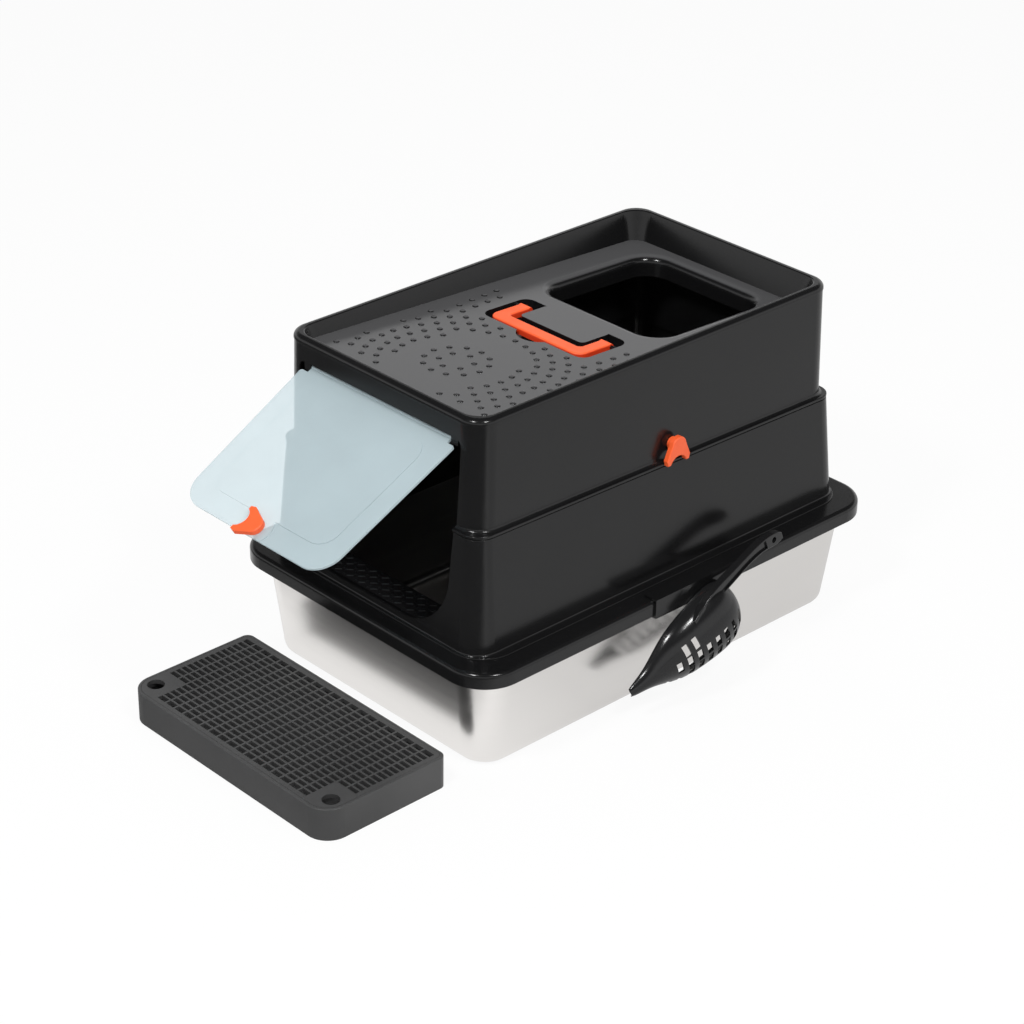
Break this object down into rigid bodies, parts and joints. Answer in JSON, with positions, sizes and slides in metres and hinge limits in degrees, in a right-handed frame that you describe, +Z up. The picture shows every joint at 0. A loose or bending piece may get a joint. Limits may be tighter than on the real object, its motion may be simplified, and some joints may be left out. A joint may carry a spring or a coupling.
{
  "type": "litter box",
  "caption": "Enclosed cat litter box: brushed steel pan, black frame and hood with a top entry, clear front flap, orange turn latches and handle, side-hung scoop and a gridded step",
  "frame": {"origin": "On the floor under the centre of the pan", "axes": "+Z up; the flap door faces -Y and the pan's long side runs along Y; the scoop hangs on the +X side"},
  "size_m": [0.435, 0.7735, 0.39],
  "materials": {
    "steel": "brushed stainless sheet",
    "pin_steel": "plain turned steel",
    "black_plastic": "satin moulded plastic",
    "black_gloss": "polished moulded plastic",
    "black_grip": "ribbed matte plastic",
    "orange_plastic": "semi-gloss moulded plastic",
    "frosted_plastic": "frosted clear sheet"
  },
  "bodies": {
    "pan": {"pan": "steel"},
    "frame": {"base_frame": "black_plastic", "entry_pad": "black_grip", "scoop_holder": "black_plastic"},
    "hood": {"hood": "black_plastic", "handle_pins": "black_plastic", "flap_pins": "pin_steel"},
    "flap": {"flap_door": "frosted_plastic"},
    "door_latch": {"door_latch": "orange_plastic", "door_latch_cap": "orange_plastic"},
    "handle": {"carry_handle": "orange_plastic"},
    "side_latch_right": {"side_latch_right": "orange_plastic", "side_latch_cap_right": "orange_plastic"},
    "side_latch_left": {"side_latch_left": "orange_plastic", "side_latch_cap_left": "orange_plastic"},
    "scoop": {"scoop": "black_gloss"},
    "step": {"step_tray": "black_plastic"},
    "step_grid": {"step_grid": "black_plastic"}
  },
  "joints": [
    {"name": "frame_lift", "type": "slide", "parent": "pan", "child": "frame", "axis": [0, 0, 1], "range_m": [0, 0.15]},
    {"name": "hood_lift", "type": "slide", "parent": "frame", "child": "hood", "axis": [0, 0, 1], "range_m": [0, 0.15]},
    {"name": "flap_swing", "type": "hinge", "parent": "hood", "child": "flap", "pos_m": [0, -0.2556, 0.3593], "axis": [1, 0, 0], "range_deg": [-20, 62.5]},
    {"name": "door_latch_turn", "type": "hinge", "parent": "flap", "child": "door_latch", "pos_m": [0, -0.42058, 0.27342], "axis": [0, -0.4617, 0.887], "range_deg": [0, 90]},
    {"name": "handle_swing", "type": "hinge", "parent": "hood", "child": "handle", "pos_m": [0, 0.00189, 0.36408], "axis": [-1, 0, 0], "range_deg": [0, 90]},
    {"name": "side_latch_right_turn", "type": "hinge", "parent": "hood", "child": "side_latch_right", "pos_m": [0.1576, 0.013, 0.2795], "axis": [1, 0, 0], "range_deg": [0, 90]},
    {"name": "side_latch_left_turn", "type": "hinge", "parent": "hood", "child": "side_latch_left", "pos_m": [-0.1576, 0.013, 0.2795], "axis": [1, 0, 0], "range_deg": [0, 90]},
    {"name": "scoop_out", "type": "slide", "parent": "frame", "child": "scoop", "axis": [1, 0, 0], "range_m": [0, 0.12]},
    {"name": "step_slide", "type": "slide", "parent": "pan", "child": "step", "axis": [0, -1, 0], "range_m": [0, 0.25]},
    {"name": "step_grid_lift", "type": "slide", "parent": "step", "child": "step_grid", "axis": [0, 0, 1], "range_m": [0, 0.08]}
  ]
}
